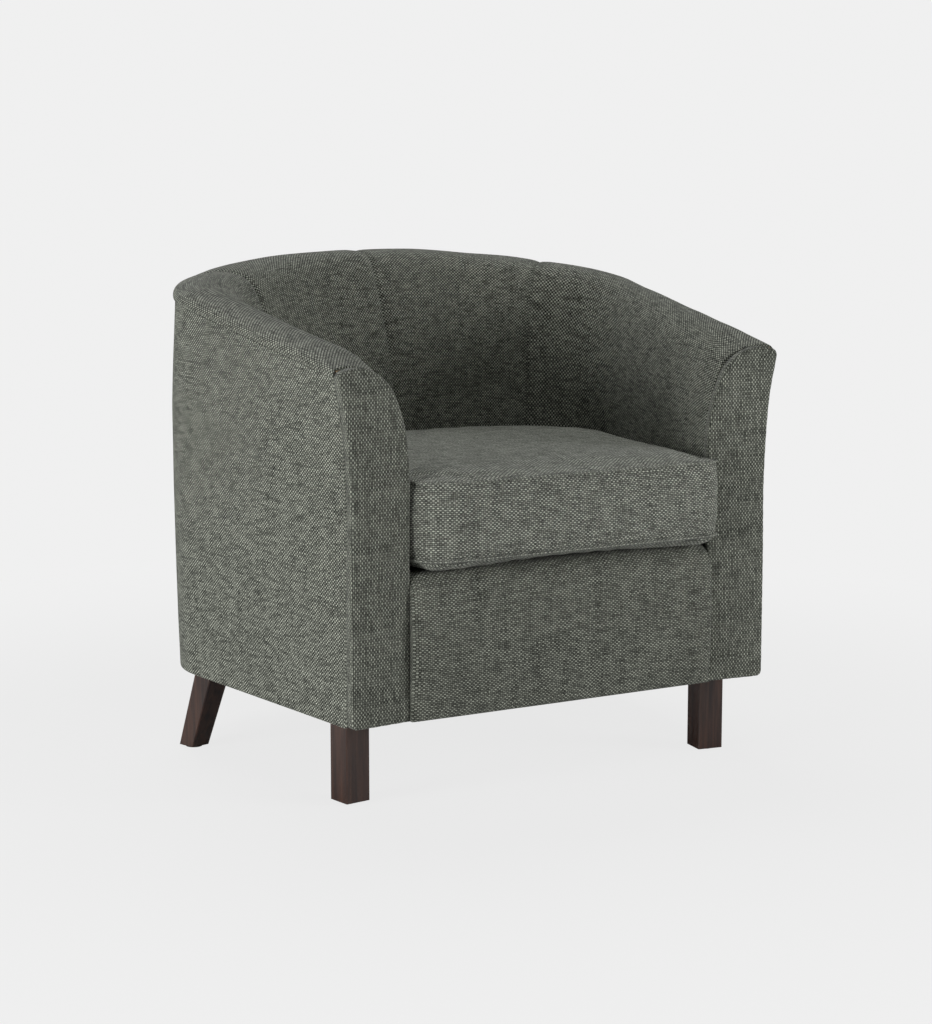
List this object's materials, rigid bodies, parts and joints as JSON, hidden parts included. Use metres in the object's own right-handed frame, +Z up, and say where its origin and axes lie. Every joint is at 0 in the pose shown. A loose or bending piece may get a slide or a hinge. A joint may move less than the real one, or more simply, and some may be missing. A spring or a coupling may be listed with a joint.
{
  "type": "tub chair",
  "caption": "Upholstered tub chair with a low wrap-around back, flared padded arms, a loose box seat cushion and dark stained wooden legs.",
  "frame": {"origin": "on the floor under the middle of the chair's overall width and depth", "axes": "+Z up, the open front faces -Y, so +Y points to the back and +X to the right as seen from the front; node names say left and right as seen from the front"},
  "size_m": [0.7838, 0.727, 0.7344],
  "materials": {
    "upholstery": "coarse woven melange, matt",
    "cushion_cover": "coarse woven melange, matt",
    "stained_wood": "dark stained, satin lacquer",
    "frame_timber": "sawn, unfinished",
    "foam": "open cell foam",
    "felt": "needled felt",
    "lining": "thin non-woven cloth",
    "webbing": "elastic webbing",
    "spring_steel": "plain",
    "zinc_steel": "zinc plated",
    "glide_plastic": "moulded",
    "zip_plastic": "moulded",
    "zip_tape": "woven tape",
    "zip_metal": "enamelled"
  },
  "bodies": {
    "chair": {"arm_post_left": "frame_timber", "arm_post_right": "frame_timber", "back_rail": "frame_timber", "back_seat_rail": "frame_timber", "back_uprights": "frame_timber", "back_webbing": "webbing", "corner_blocks": "frame_timber", "corner_post_left": "frame_timber", "corner_post_right": "frame_timber", "deck_cloth": "lining", "deck_pad": "felt", "dust_cover": "lining", "facing_board_left": "frame_timber", "facing_board_right": "frame_timber", "facing_left": "upholstery", "facing_right": "upholstery", "front_apron": "upholstery", "front_leg_left": "stained_wood", "front_leg_right": "stained_wood", "front_rail": "frame_timber", "inside_arm_left": "upholstery", "inside_arm_right": "upholstery", "inside_back_left": "upholstery", "inside_back_right": "upholstery", "leg_bolts": "zinc_steel", "leg_glides": "glide_plastic", "leg_nuts": "zinc_steel", "outside_arm_panel_left": "upholstery", "outside_arm_panel_right": "upholstery", "outside_back_panel": "upholstery", "rear_leg_left": "stained_wood", "rear_leg_right": "stained_wood", "seat_springs": "spring_steel", "side_rail_left": "frame_timber", "side_rail_right": "frame_timber", "side_seat_rail_left": "frame_timber", "side_seat_rail_right": "frame_timber", "spring_clips": "spring_steel", "spring_cover": "lining", "spring_tie_wires": "spring_steel", "top_rail_back": "frame_timber", "top_rail_left": "frame_timber", "top_rail_right": "frame_timber"},
    "seat_cushion": {"cushion_top": "cushion_cover", "cushion_border": "cushion_cover", "cushion_bottom": "cushion_cover", "cushion_foam": "foam", "zip_tapes": "zip_tape", "zip_teeth": "zip_plastic"},
    "zip_slider": {"zip_slider": "zip_metal", "zip_pull": "zip_metal"}
  },
  "joints": [
    {"name": "cushion_lift", "type": "slide", "parent": "chair", "child": "seat_cushion", "axis": [0, 0, 1], "range_m": [0, 0.45]},
    {"name": "zip_travel", "type": "hinge", "parent": "seat_cushion", "child": "zip_slider", "pos_m": [0, -0.28269, 0.378], "axis": [0, 0, 1], "range_deg": [-17.5, 17.5]}
  ]
}
